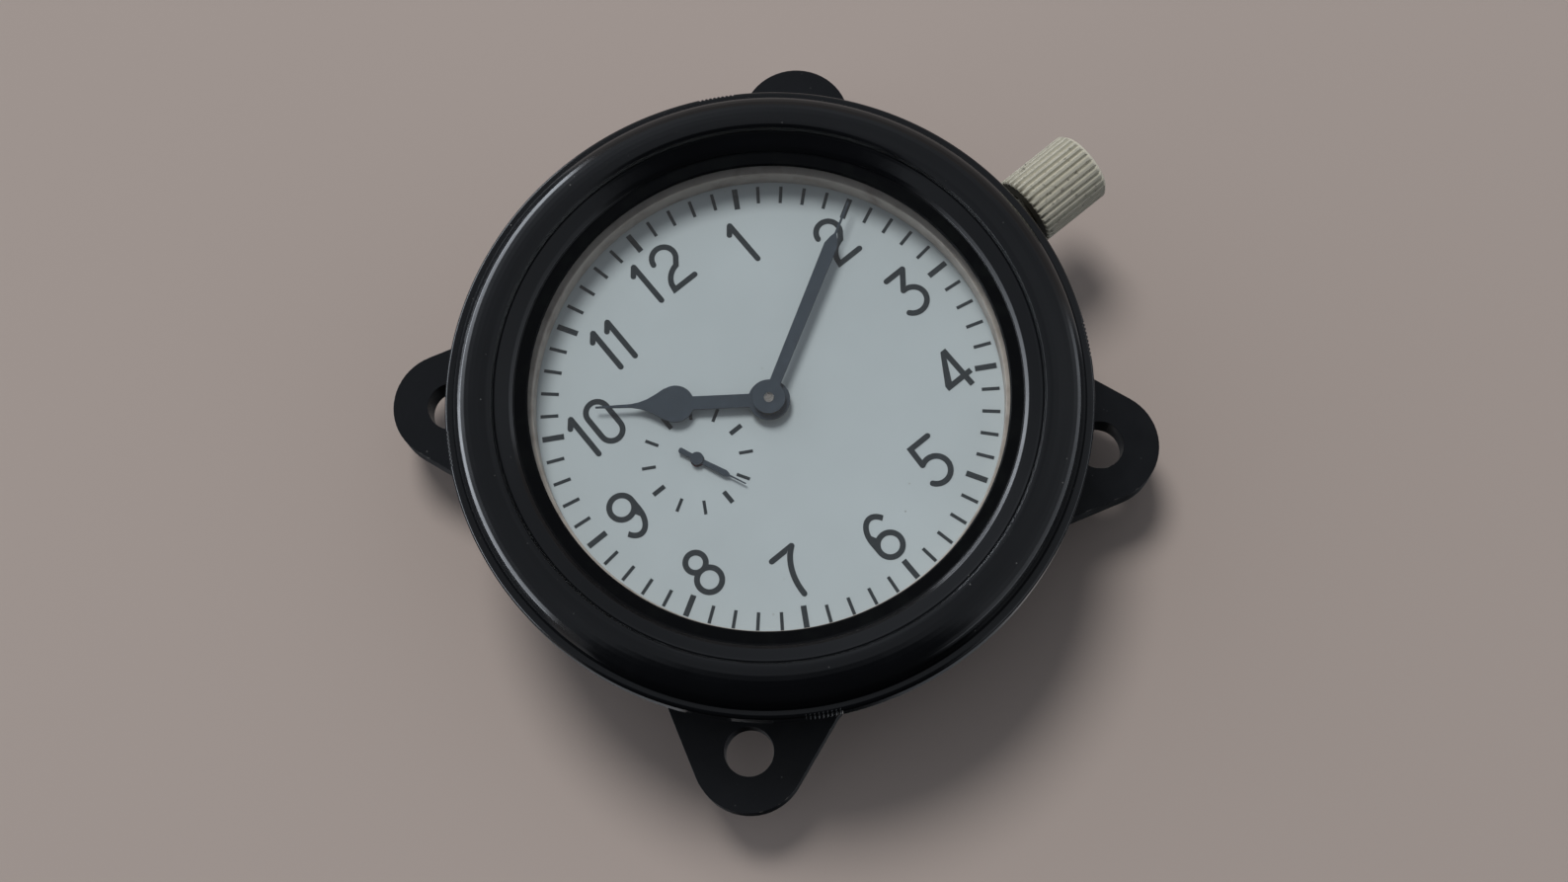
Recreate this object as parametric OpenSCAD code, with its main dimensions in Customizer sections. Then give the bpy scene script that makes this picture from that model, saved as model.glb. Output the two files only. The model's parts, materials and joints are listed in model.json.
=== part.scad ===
// Aircraft panel clock with a lever movement, lying on its rear cover. Millimetres.
// The origin is the centre of the rear cover's outer face.
// +Z looks out of the dial, +Y points to 12 o'clock and +X to 3 o'clock, along the winding stem.

/* [Case] */
// Height of the dial's face above the rear cover
dial_z = 17; // [16.8:0.1:19]
// Radius of the case body under the bezel
body_r = 30; // [29.8:0.1:30.3]
// Radius of the bezel at its bulge
bulge_r = 31.2; // [31:0.1:31.5]
// Radius of the bezel's outer rim
rim_r = 32.1; // [31.9:0.1:32.4]
// Height of the bezel's crest above the dial's face
crest_h = 6.55; // [6.3:0.05:7.3]
// Radius of the window in the bezel
window_r = 23.75; // [23.6:0.05:24]
// Thickness of the front glass
glass_t = 1.5; // [1.2:0.1:1.6]

/* [Mounting lugs] */
// Radius of the circle through the four mounting holes
lug_pitch_r = 33.9; // [33.7:0.1:34.4]
// Radius of a mounting hole
lug_hole_r = 2.5; // [2:0.1:2.7]
// Radius of a lug's rounded end
lug_end_r = 5.75; // [5.4:0.05:6.2]
// Angle between a lug's straight flanks and its middle line
lug_taper = 26.5; // [24:0.5:28]
// Radius of the fillets between a lug and the body
lug_fillet_r = 4; // [2.5:0.5:6]
// Thickness of the lugs
lug_t = 3.6; // [3:0.2:4]
// Depth of the lugs' front faces behind the dial's face
lug_drop = 8.4; // [8:0.1:8.6]
// Turn of the lugs away from the 45 degree positions, counter-clockwise from the front
lug_turn = 1.8; // [0:0.1:4]

/* [Dial and hands] */
// Radius of the dial
dial_r = 24.4; // [24.3:0.1:24.5]
// Inner radius of the hour marks
mark_r = 20.85; // [20.6:0.05:21.4]
// Outer radius of the hour and minute marks
track_r = 23.05; // [22.8:0.05:23.2]
// Height of the numerals, measured along the middle of the strokes
numeral_h = 4.6; // [4:0.1:5]
// Width of the numerals' strokes
numeral_w = 0.58; // [0.46:0.02:0.64]
// Clockwise angle of the minute hand from 12 at rest
minute_angle = 60.6; // [0:0.1:360]
// Clockwise angle of the hour hand from 12 at rest
hour_angle = 307; // [0:0.5:360]
// Clockwise angle of the seconds hand from 12 at rest
seconds_angle = 157; // [0:0.5:360]
// Length of the minute hand
minute_len = 22; // [20:0.5:22.5]
// Length of the hour hand
hour_len = 17.4; // [16:0.2:18]

/* [Winding crown] */
// Radius of the winding crown
crown_r = 3.85; // [3.6:0.05:4]
// Length of the winding crown
crown_len = 8.4; // [7.6:0.2:9]
// Gap between the bezel's rim and the crown's inner face
crown_gap = 1.8; // [1.7:0.1:2.3]
// Number of ridges round the crown
crown_ridges = 32; // [28:2:40]

/* [Movement] */
// Radius of the movement's main plate
plate_r = 21.5; // [21.3:0.1:21.7]
// Thickness of the main plate
plate_t = 2; // [1.9:0.05:2.1]
// Distance of the seconds hand's axis from the centre
seconds_x = 9.27; // [9.2:0.02:9.4]
// Distance of the balance from the escape wheel
lever_len = 10; // [9.8:0.1:10.1]
// Outer radius of the balance wheel's rim
balance_r = 6.4; // [6:0.1:6.5]
// Module of the barrel's teeth
barrel_m = 0.2; // [0.195:0.0025:0.205]
// Module of the centre wheel's teeth
centre_m = 0.17; // [0.165:0.0025:0.175]
// Module of the third wheel's teeth
third_m = 0.155; // [0.15:0.0025:0.16]
// Module of the fourth wheel's teeth
fourth_m = 0.12; // [0.115:0.0025:0.125]
// Module of the motion work's teeth
motion_m = 0.18; // [0.175:0.0025:0.185]
// Distance between the ratchet wheel and the crown wheel
winding_d = 10; // [9.9:0.05:10.1]
// Radius of the winding stem
stem_r = 0.9; // [0.8:0.05:0.95]

/* [Clearances] */
// Gap between pieces that are fitted together
fit = 0.1; // [0.05:0.01:0.15]
// Radial gap between a shaft and its bearing
run = 0.05; // [0.03:0.01:0.08]
// Gap between a wheel and the arbor it is pressed on
press = 0.01; // [0.005:0.005:0.02]

/* [Hidden] */
$fn = 96;

// Case levels and radii
body_top = dial_z - 1.8;
neck_top = dial_z + 2.2;
neck_r = body_r - 1;
bore_r = neck_r - 1.1;
seat_z = dial_z - 8.5;
rear_bore_r = bore_r - 2.7;
rear_r = body_r - 1.4;
rear_t = 1.2;
lug_top = dial_z - lug_drop;
lug_bottom = lug_top - lug_t;
lug_blend = 0.03;
lug_end_x = lug_pitch_r + 0.4;
spacer_top = dial_z + 2.5;
spacer_r = max(dial_r - 0.95, track_r + 0.4);
gasket_t = 0.4;
glass_z = spacer_top + gasket_t;
glass_top = glass_z + glass_t;
glass_r = max(window_r + 1.85, spacer_r + 2.15);
ring_r = bore_r - 2 * fit;
flange_r = plate_r + 1.1;
flange_t = 0.4;
recess_r = flange_r + 1.4;
clamp_r = (flange_r + recess_r) / 2;
tube_r = stem_r + 0.8;
seat_r = ring_r - 1;
thread_h = 2.6;

// Movement levels, from the dial down to the rear
dial_t = 0.4;
upper_work_z = dial_z - 0.9;
lower_work_z = dial_z - 1.3;
plate_top = dial_z - 1.4;
plate_z = plate_top - plate_t;
stem_z = plate_z;
seconds_hand_z = dial_z + 0.4;
hour_hand_z = dial_z + 1;
minute_hand_z = dial_z + 1.85;
hand_t = 0.22;
barrel_top = plate_top - 0.7;
barrel_z = plate_z - 0.7;
bridge_z = plate_z - 1.9;
winding_z = plate_z - 2.7;
winding_t = 0.55;
wheel_t = 0.3;
centre_pinion_z = plate_z - 0.85;
centre_wheel_z = plate_z - 1.3;
third_pinion_z = plate_z - 1.55;
third_wheel_z = plate_z - 2.5;
fourth_pinion_z = plate_z - 2.75;
fourth_wheel_z = plate_z - 1.85;
escape_pinion_z = plate_z - 2.1;
escape_wheel_z = plate_z - 1.3;
pinion_t = 0.75;
fork_z = plate_z - 1.35;
fork_t = 0.4;
roller_z = plate_z - 0.85;
pallet_cock_z = plate_z - 2.25;
pallet_cock_t = 0.7;
balance_z = plate_z - 3.1;
balance_t = 0.7;
hairspring_z = plate_z - 3.45;
hairspring_t = 0.25;
train_bridge_z = plate_z - 4.4;
train_bridge_top = plate_z - 3.2;
cock_z = plate_z - 4.7;
cock_top = plate_z - 3.6;

// Tooth counts
barrel_n = 80;
centre_n = 80;
centre_pinion_n = 10;
third_n = 75;
third_pinion_n = 10;
fourth_n = 80;
fourth_pinion_n = 10;
escape_n = 15;
escape_pinion_n = 8;
cannon_n = 12;
minute_n = 36;
minute_pinion_n = 10;
hour_n = 40;
setting_n = 32;
ratchet_n = 40;
crown_wheel_n = 35;
winding_pinion_n = 14;

// Tooth modules
hour_m = motion_m * (cannon_n + minute_n) / (minute_pinion_n + hour_n);
winding_m = 2 * winding_d / (ratchet_n + crown_wheel_n);

// A point at a radius and an angle
function polar(r, a) = [r * cos(a), r * sin(a)];

// The third corner of a triangle on p and q, on the left of the line from p to q
function corner(p, q, dp, dq) =
  let (
    d = norm(q - p),
    u = (q - p) / d,
    along = (dp * dp - dq * dq + d * d) / (2 * d),
    off = sqrt(dp * dp - along * along)
  )
  p + along * u + off * [-u[1], u[0]];

// Phase of gear b so that its gap meets a tooth of gear a on the line of centres
function mesh_phase(from, to, n_a, phase_a, n_b) =
  let (line = atan2(to[1] - from[1], to[0] - from[0]))
  line + 180 - (180 - (line - phase_a) * n_a) / n_b;

// Positions of the movement's axes
centre_p = [0, 0];
fourth_p = [-seconds_x, 0];
third_p = corner(
  centre_p, fourth_p, centre_m * (centre_n + third_pinion_n) / 2,
  third_m * (third_n + fourth_pinion_n) / 2
);
escape_p = fourth_p + polar(fourth_m * (fourth_n + escape_pinion_n) / 2, 150);
lever_a = 55;
escape_tip_r = 3.2;
pallet_p = escape_p + polar(escape_tip_r + 0.72, lever_a);
balance_p = escape_p + polar(lever_len, lever_a);
crown_wheel_p = [11.23, 0];
barrel_p = corner(
  centre_p, crown_wheel_p, barrel_m * (barrel_n + centre_pinion_n) / 2,
  winding_m * (ratchet_n + crown_wheel_n) / 2
);
setting_p = [9.6, -1.6];
minute_p = corner(
  setting_p, centre_p, motion_m * (setting_n + minute_n) / 2,
  motion_m * (cannon_n + minute_n) / 2
);
ratchet_tip_r = winding_m * (ratchet_n / 2 + 0.8);
click_p = barrel_p + polar(ratchet_tip_r + 1.9, 20);
barrel_tip_r = barrel_m * (barrel_n / 2 + 0.95);
barrel_wall_r = barrel_m * (barrel_n / 2 - 2.5);
barrel_bore_r = barrel_wall_r - 0.4;
barrel_pocket_r = barrel_tip_r + 0.3;
bridge_r = plate_r - 0.7;

// Radii of arbors, posts and pivots
arbor_r = 1;
arbor_square = 1.3;
hook_r = 1.7;
drum_floor = 0.3;
barrel_pivot_r = 0.62;
pivot_r = 0.2;
jewel_r = 0.8;
train_arbor_r = 0.4;
escape_arbor_r = 0.3;
centre_r = 0.9;
centre_hub_r = 0.6;
centre_pivot_r = 0.36;
centre_post_r = 0.5;
cannon_r = 0.9;
hour_tube_r = 1.5;
seconds_pivot_r = 0.31;
minute_post_r = 0.5;
setting_post_r = 0.6;
staff_r = 0.45;
collet_r = 0.75;
roller_r = 1.2;
hairspring_r = 4;
dial_foot_r = 0.5;

// Phases of the gears that are set by the gear before them
centre_pinion_a = mesh_phase(barrel_p, centre_p, barrel_n, 0, centre_pinion_n);
third_pinion_a = mesh_phase(centre_p, third_p, centre_n, 0, third_pinion_n);
fourth_pinion_a = mesh_phase(third_p, fourth_p, third_n, 0, fourth_pinion_n);
escape_pinion_a = mesh_phase(fourth_p, escape_p, fourth_n, 0, escape_pinion_n);
minute_wheel_a = mesh_phase(centre_p, minute_p, cannon_n, 0, minute_n);
hour_wheel_a = mesh_phase(minute_p, centre_p, minute_pinion_n, 0, hour_n);
setting_wheel_a = mesh_phase(minute_p, setting_p, minute_n, minute_wheel_a, setting_n);
crown_wheel_a = mesh_phase(barrel_p, crown_wheel_p, ratchet_n, 0, crown_wheel_n);

// Keyless works along the stem
crown_x = rim_r + crown_gap;
pinion_x = 15.15;
pinion_len = 2.35;
clutch_x = 12.9;
clutch_len = 2.1;
clutch_groove_x = 13.95;
lever_groove_x = 18.7;
clutch_n = 16;
slide = 0.8;
pull = 1.2;
groove_w = 0.8;
square_w = 1;
pilot_r = 0.5;
pilot_x = 10.6;
thread_r = stem_r - 0.1;
slot_x = 12;
slot_w = 4.4;
pin_r = 0.25;
lever_pivot_p = [lever_groove_x + pull / 2, -3.3];
yoke_pivot_p = [clutch_groove_x - slide / 2, -6];
lever_z = plate_top - 0.4;
stud_r = 0.4;
lever_t = 0.3;

// Fastener positions
barrel_screws = [polar(18.6, 18), polar(18.6, 55), polar(18.4, 84)];
train_feet = [[-17.5, -3.5], [-8, -14.6], [5.6, -10.4]];
cock_foot = [-17.2, 8];
pallet_foot = [-13.3, 9.5];
dial_feet = [polar(plate_r - 2.5, 99), polar(plate_r - 2.5, 255)];
clamp_angles = [40, 160, 280];
clamp_t = 0.3;
clamp_screw_r = 0.4;
screw_r = 0.55;
head_r = 1.05;
head_t = 0.6;
foot_r = 2;

// A solid disc
module disc(r, z0, z1) {
  translate([0, 0, z0])
    cylinder(r = r, h = z1 - z0);
}

// A flat ring
module ring(ro, ri, z0, z1) {
  difference() {
    disc(ro, z0, z1);
    disc(ri, z0 - 1, z1 + 1);
  }
}

// Children moved to a point in plan
module at(p) {
  translate([p[0], p[1], 0])
    children();
}

// A flat bar with rounded ends
module bar(p, q, w, z0, z1) {
  translate([p[0], p[1], z0])
    rotate([0, 0, atan2(q[1] - p[1], q[0] - p[0])])
      translate([0, -w / 2, 0])
        cube([norm(q - p), w, z1 - z0]);
  at(p) disc(w / 2, z0, z1);
  at(q) disc(w / 2, z0, z1);
}

// A round bar on the stem's axis
module along_stem(r, x0, x1) {
  translate([x0, 0, stem_z])
    rotate([0, 90, 0])
      cylinder(r = r, h = x1 - x0);
}

// A toothed blank with pointed teeth
module gear(n, m, wide, add, ded, z0, z1, phase = 0) {
  pitch_r = n * m / 2;
  half = wide * 180 / n;
  shape = [
    [-1.25 * half, pitch_r - ded * m], [-half, pitch_r], [-0.4 * half, pitch_r + add * m],
    [0.4 * half, pitch_r + add * m], [half, pitch_r], [1.25 * half, pitch_r - ded * m]
  ];
  translate([0, 0, z0])
    linear_extrude(height = z1 - z0)
      polygon([
        for (i = [0 : n - 1])
          for (s = shape)
            polar(s[1], phase + 360 * i / n + s[0])
      ]);
}

// The leaves of a pinion
module pinion(n, m, z0, z1, phase) {
  gear(n, m, 0.36, 0.6, 1.3, z0, z1, phase);
}

// The openings between the arms of a wheel
module crossings(ro, ri, arms, z) {
  difference() {
    ring(ro, ri, z - 1, z + wheel_t + 1);
    for (i = [0 : arms - 1])
      bar([0, 0], polar(ro + 0.3, 360 * i / arms), 0.6, z - 2, z + wheel_t + 2);
  }
}

// A crossed-out train wheel, bored for its arbor
module wheel(n, m, z, phase, hub_r, bore) {
  difference() {
    gear(n, m, 0.44, 0.95, 1.2, z, z + wheel_t, phase);
    crossings(m * (n / 2 - 5), hub_r, 5, z);
    disc(bore, z - 1, z + wheel_t + 1);
  }
}

// A flat strip wound as a spiral from r0 to r1
module spiral(r0, r1, turns, w, z0, z1) {
  steps = turns * 30;
  function spiral_r(i) = r0 + (r1 - r0) * i / steps;
  translate([0, 0, z0])
    linear_extrude(height = z1 - z0)
      polygon(concat(
        [for (i = [0 : steps]) polar(spiral_r(i) + w / 2, 12 * i)],
        [for (i = [steps : -1 : 0]) polar(spiral_r(i) - w / 2, 12 * i)]
      ));
}

// A slotted screw with its head facing the rear, from z to top
module screw(z, top) {
  difference() {
    union() {
      disc(head_r, z, z + head_t);
      disc(screw_r, z, top);
    }
    translate([-2, -0.15, z - 1])
      cube([4, 0.3, 1.3]);
  }
}

// Points along an arc of an ellipse
function arc(c, rx, ry, a0, a1, n) = [
  for (i = [0 : n])
    let (a = a0 + (a1 - a0) * i / n)
      [c[0] + rx * cos(a), c[1] + ry * sin(a)]
];

// A vector of length one
function unit(v) = v / norm(v);

// Direction square to another, on its left
function left_of(v) = [-v[1], v[0]];

// One side of a pen stroke along a line of points, with sharp outer corners rounded
function stroke_side(p, off) = [
  for (i = [0 : len(p) - 1])
    let (
      before = unit(i == 0 ? p[1] - p[0] : p[i] - p[i - 1]),
      after = unit(i == len(p) - 1 ? p[i] - p[i - 1] : p[i + 1] - p[i]),
      mitre = unit(left_of(before) + left_of(after)),
      reach = 1 / (mitre * left_of(before)),
      outer = cross(before, after) * off < 0
    )
      each outer && reach > 1.6 ?
        [for (t = [0 : 4]) p[i] + off * unit(left_of(before) * (4 - t) + left_of(after) * t)] :
        [p[i] + mitre * off * reach]
];

// Points of a round end of a stroke at p, which comes from q
function stroke_end(p, q, r) =
  let (a = atan2(p[1] - q[1], p[0] - q[0]))
  [for (turn = [60 : -30 : -60]) p + polar(r, a + turn)];

// A pen stroke with round ends
module stroke(p, r) {
  last = len(p) - 1;
  right = stroke_side(p, -r);
  polygon(concat(
    stroke_side(p, r), stroke_end(p[last], p[last - 1], r),
    [for (i = [len(right) - 1 : -1 : 0]) right[i]], stroke_end(p[0], p[1], r)
  ));
}

// A round bar stood on end, with half circles of radius r at both ends
module stadium(r) {
  polygon(concat(
    arc([0.25, 0.75], r, r, 0, 180, 14), arc([0.25, 0.25], r, r, 180, 360, 14)
  ));
}

// The figure six, as its outline with a round hole
module six(r) {
  loop_p = [0.27, 0.28];
  loop_r = 0.27;
  hook_p = [0.29, 0.55];
  difference() {
    polygon(concat(
      arc(hook_p, 0.29 + r, 0.45 + r, 38, 180, 14),
      arc(loop_p, loop_r + r, loop_r + r, 185, 475, 24),
      arc(hook_p, 0.29 - r, 0.45 - r, 160, 38, 12)
    ));
    translate(loop_p) circle(loop_r - r, $fn = 48);
  }
}

// The figure eight, as two rounds with round holes
module eight(r) {
  rounds = [[[0.27, 0.76], 0.22], [[0.27, 0.28], 0.27]];
  difference() {
    for (c = rounds)
      translate(c[0]) circle(c[1] + r, $fn = 48);
    for (c = rounds)
      translate(c[0]) circle(c[1] - r, $fn = 48);
  }
}

// The figure four, as its outline with a three-sided hole
module four(r) {
  stem_x = 0.42;
  bar_y = 0.27;
  difference() {
    polygon([
      [stem_x - r, 0], [stem_x + r, 0], [stem_x + r, bar_y - r], [0.6, bar_y - r],
      [0.6, bar_y + r], [stem_x + r, bar_y + r], [stem_x + r, 1], [stem_x - 1.2 * r, 1],
      [-1.2 * r, bar_y + r], [-1.2 * r, bar_y - r], [stem_x - r, bar_y - r]
    ]);
    polygon([[stem_x - r, bar_y + r], [stem_x - r, 0.8], [1.7 * r, bar_y + r]]);
  }
}

// Middle line of a digit that is one stroke, in a box one unit high
function digit_line(d) =
  d == 1 ? [[0.02, 0.83], [0.16, 1], [0.16, 0]] :
  d == 2 ? concat(
    arc([0.26, 0.73], 0.27, 0.27, 175, -46, 16), arc([0.45, 0], 0.45, 0.44, 100, 162, 8),
    [[0, 0], [0.56, 0]]
  ) :
  d == 3 ? concat([[0.04, 1], [0.5, 1]], arc([0.22, 0.3], 0.31, 0.3, 95, -145, 18)) :
  d == 5 ? concat([[0.56, 1], [0.08, 1]], arc([0.22, 0.3], 0.31, 0.31, 122, -145, 18)) :
  concat([[0, 1]], arc([0.92, 0.02], 0.82, 1.1, 117, 180, 10));

// One digit, drawn at the numerals' height
module digit(d) {
  r = numeral_w / numeral_h / 2;
  scale(numeral_h)
    if (d == 0)
      difference() {
        stadium(0.25 + r);
        stadium(0.25 - r);
      }
    else if (d == 4)
      four(r);
    else if (d == 6)
      six(r);
    else if (d == 9)
      translate([0.54, 1])
        rotate([0, 0, 180])
          six(r);
    else if (d == 8)
      eight(r);
    else
      stroke(digit_line(d), r);
}

// Each hour's digits with their left edges, and the middle of the numeral on the dial
hour_numerals = [
  [[[1, -0.52], [2, 0.02]], [0, 17.7]], [[[1, -0.1]], [8.4, 14.9]],
  [[[2, -0.27]], [16, 9.1]], [[[3, -0.27]], [18.2, 0]],
  [[[4, -0.3]], [16.3, -9.2]], [[[5, -0.27]], [8.6, -15]],
  [[[6, -0.27]], [0, -17.8]], [[[7, -0.25]], [-8.9, -15]],
  [[[8, -0.27]], [-15.9, -9.2]], [[[9, -0.27]], [-18.1, 0]],
  [[[1, -0.5], [0, -0.05]], [-14.9, 9.1]], [[[1, -0.31], [1, 0.09]], [-8.5, 14.8]]
];

// Outline of one lug, pointing along +X: a rounded end, straight flanks and fillets to the body
module lug_outline() {
  off = lug_fillet_r - lug_blend;
  far = body_r + off;
  outward = [sin(lug_taper), cos(lug_taper)];
  inward = [-cos(lug_taper), sin(lug_taper)];
  touch = [lug_end_x, 0] + lug_end_r * outward;
  start = touch + off * outward;
  lean = start * inward;
  flank = -lean - sqrt(lean * lean - start * start + far * far);
  centre = start + flank * inward;
  foot = touch + flank * inward;
  root = 0.9 * body_r / far * centre;
  side = [touch, foot, centre, root];
  mirrored = [for (i = [3 : -1 : 0]) [side[i].x, -side[i].y]];
  difference() {
    polygon(concat(mirrored, side));
    for (turn = [-1, 1])
      translate([centre.x, turn * centre.y])
        circle(lug_fillet_r);
  }
  translate([lug_end_x, 0])
    circle(lug_end_r);
}

// Children at each of the four lugs
module each_lug() {
  for (i = [0 : 3])
    rotate([0, 0, 45 + lug_turn + 90 * i])
      children();
}

module case_body() {
  color("#1c1d1f")
    difference() {
      union() {
        disc(neck_r, body_top, neck_top);
        disc(body_r, lug_top, body_top);
        disc(rear_r, rear_t, lug_bottom);
        translate([0, 0, lug_bottom])
          linear_extrude(height = lug_t) {
            circle(body_r);
            each_lug()
              lug_outline();
          }
      }
      disc(bore_r, seat_z, neck_top + 1);
      disc(rear_bore_r, 0, seat_z + 1);
      each_lug()
        translate([lug_pitch_r, 0, lug_bottom - 1])
          cylinder(r = lug_hole_r, h = lug_t + 2);
      along_stem(tube_r, seat_r, crown_x);
    }
}

module rear_cover() {
  spanner_w = 3;
  spanner_len = 4;
  spanner_depth = 0.7;
  color("#202124")
    difference() {
      union() {
        disc(rear_r, 0, rear_t);
        disc(rear_bore_r - fit, 0, rear_t + thread_h);
      }
      disc(rear_bore_r - 2, rear_t, rear_t + thread_h + 1);
      for (a = [0, 180])
        rotate([0, 0, a])
          translate([rear_r - 10.5, -spanner_w / 2, -1])
            cube([spanner_len, spanner_w, spanner_depth + 1]);
    }
}

module bezel() {
  bottom = body_top + 2 * fit;
  rim_top = dial_z + 4;
  crest = dial_z + crest_h;
  bulge_z = rim_top + 0.1;
  bulge_w = 2.7;
  top_r = bulge_r - bulge_w;
  seat = spacer_top + fit;
  inner = neck_r + fit;
  knurl_r = 0.17;
  knurl_step = 0.75;
  color("#0d0e10")
    difference() {
      rotate_extrude()
        polygon(concat(
          [
            [inner, bottom], [rim_r - 1.1, bottom], [rim_r - 0.6, bottom + 0.3],
            [rim_r - 0.15, bottom + 2], [rim_r, bottom + 2.8], [rim_r, rim_top - 0.6],
            [rim_r - 0.15, rim_top - 0.2], [rim_r - 0.45, rim_top], [bulge_r + 0.1, rim_top + 0.05]
          ],
          arc([top_r, bulge_z], bulge_w, crest - bulge_z, 0, 90, 18),
          [
            [top_r - 0.6, crest - 0.07], [top_r - 1.1, crest - 0.27],
            [window_r + 3.25, crest - 0.53], [window_r + 3.1, crest - 0.85],
            [window_r + 2.95, glass_top + 1.38], [window_r + 2.55, glass_top + 1.22],
            [window_r + 2.05, glass_top + 1], [window_r + 1.7, glass_top + 0.8],
            [window_r + 1.5, glass_top + 0.6], [window_r + 1.38, glass_top + 0.4],
            [window_r + 1.2, glass_top + 0.34], [window_r + 0.2, glass_top + 0.28],
            [window_r, glass_top + 0.12],
            [window_r, glass_top], [glass_r + fit, glass_top],
            [glass_r + fit, seat], [inner, seat]
          ]
        ));
      for (patch = [0 : 3])
        for (i = [-4 : 4])
          rotate([0, 0, 60.5 - 90 * patch + knurl_step * i])
            translate([rim_r + 0.05, 0, bottom - 1])
              cylinder(r = knurl_r, h = rim_top - bottom + 2, $fn = 16);
    }
}

module glass() {
  color("#dfe9ec", 0.3)
    disc(glass_r, glass_z, glass_top);
}

module glass_gasket() {
  color("#151515")
    ring(glass_r, spacer_r + 0.9, spacer_top, glass_z);
}

module spacer_ring() {
  color("#a59c92")
    difference() {
      disc(ring_r, dial_z - dial_t, spacer_top);
      disc(spacer_r, dial_z - 1, spacer_top + 1);
      disc(dial_r + fit, dial_z - 1, dial_z);
    }
}

module dial() {
  color("#cfd6d8") {
    difference() {
      disc(dial_r, dial_z - dial_t, dial_z);
      disc(hour_tube_r + 0.3, dial_z - 1, dial_z + 1);
      at(fourth_p) disc(seconds_pivot_r + 0.4, dial_z - 1, dial_z + 1);
    }
    for (p = dial_feet)
      at(p) disc(dial_foot_r, plate_top - 1.2, dial_z - dial_t);
  }
}

// A radial mark of the dial's print
module mark(r0, r1, w) {
  translate([r0, -w / 2])
    square([r1 - r0, w]);
}

module dial_print() {
  print_t = 0.03;
  hour_mark_w = 0.57;
  minute_mark_w = 0.34;
  seconds_mark_r = 4.2;
  seconds_mark_len = 1.4;
  color("#3c4347")
    translate([0, 0, dial_z])
      linear_extrude(height = print_t) {
        for (i = [0 : 59])
          rotate([0, 0, 6 * i])
            if (i % 5 == 0)
              mark(mark_r, track_r, hour_mark_w);
            else
              mark(mark_r + 0.4, track_r, minute_mark_w);
        for (i = [0 : 11])
          translate(fourth_p)
            rotate([0, 0, 30 * i])
              mark(seconds_mark_r, seconds_mark_r + seconds_mark_len, i % 3 == 0 ? 0.46 : 0.32);
        for (numeral = hour_numerals)
          for (d = numeral[0])
            translate([numeral[1][0] + d[1] * numeral_h, numeral[1][1] - numeral_h / 2])
              digit(d[0]);
      }
}

module movement_ring() {
  color("#b9a468")
    difference() {
      disc(ring_r, seat_z, dial_z - dial_t);
      disc(plate_r + fit, seat_z - 1, dial_z);
      disc(flange_r + fit, plate_top - flange_t, dial_z);
      disc(recess_r, plate_top, dial_z);
      along_stem(stem_r + 0.35, plate_r - 1, bore_r);
      for (a = clamp_angles)
        at(polar(clamp_r, a)) disc(clamp_screw_r + run, plate_top - 2, dial_z);
    }
}

module movement_clamps() {
  clamp_len = recess_r - flange_r + 0.7;
  clamp_w = 3;
  color("#a8abad")
    for (a = clamp_angles)
      rotate([0, 0, a])
        difference() {
          translate([recess_r - 2 * fit - clamp_len, -clamp_w / 2, plate_top])
            cube([clamp_len, clamp_w, clamp_t]);
          translate([clamp_r, 0, plate_top - 1])
            cylinder(r = clamp_screw_r + run, h = 2);
        }
}

module clamp_screws() {
  top = plate_top + clamp_t;
  color("#6f7376")
    for (a = clamp_angles)
      at(polar(clamp_r, a))
        difference() {
          union() {
            disc(clamp_screw_r, plate_top - 1.8, top);
            disc(clamp_screw_r + 0.2, top, top + 0.45);
          }
          translate([-1, -0.1, top + 0.25])
            cube([2, 0.2, 1]);
        }
}

// The pocket for the winding pinion and the clutch
module keyless_slot(x0, z0, z1) {
  translate([x0, -slot_w / 2, z0])
    cube([pinion_x + pinion_len + 0.2 - x0, slot_w, z1 - z0]);
}

// The stem's bearing and pilot hole, shared by the main plate and the barrel bridge
module stem_bores() {
  along_stem(pilot_r + run, pilot_x - 0.2, clutch_x);
  along_stem(stem_r + run, pinion_x, flange_r + 1);
}

module main_plate() {
  pocket_z = plate_top - 0.8;
  color("#c9b27a")
    difference() {
      union() {
        disc(plate_r, plate_z, plate_top);
        disc(flange_r, plate_top - flange_t, plate_top);
        at(minute_p) disc(minute_post_r, plate_z, upper_work_z + wheel_t + 0.1);
        at(setting_p) disc(setting_post_r, plate_z, lower_work_z + wheel_t + 0.1);
      }
      at(barrel_p) disc(barrel_pocket_r, plate_z - 1, plate_top - 0.5);
      at(barrel_p) disc(barrel_pivot_r + run, plate_z - 1, plate_top + 1);
      disc(centre_r + run, plate_z - 1, plate_top + 1);
      disc(centre_r + 0.5, plate_z - 1, plate_z + 0.2);
      for (p = [third_p, escape_p, pallet_p, balance_p])
        at(p) disc(jewel_r, plate_z - 1, plate_z + 0.9);
      at(fourth_p) disc(jewel_r, plate_z - 1, plate_top + 1);
      keyless_slot(slot_x, plate_z - 1, plate_top + 1);
      stem_bores();
      translate([lever_groove_x - 0.6, -0.6, plate_z - 1])
        cube([pull + 1.2, 1.2, plate_t + 1]);
      bar(yoke_pivot_p, [yoke_pivot_p[0], -slot_w / 2], 3, pocket_z, plate_top + 1);
      bar(lever_pivot_p, [lever_pivot_p[0], 0.4], 2.9, pocket_z, plate_top + 1);
      for (p = [yoke_pivot_p, lever_pivot_p])
        at(p) disc(stud_r, plate_z - 1, plate_top);
      for (p = dial_feet)
        at(p) disc(dial_foot_r + run, plate_z - 1, plate_top + 1);
      for (p = concat(barrel_screws, train_feet, [cock_foot, pallet_foot]))
        at(p) disc(screw_r + run, plate_z - 1, plate_top - 0.2);
    }
}

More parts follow.
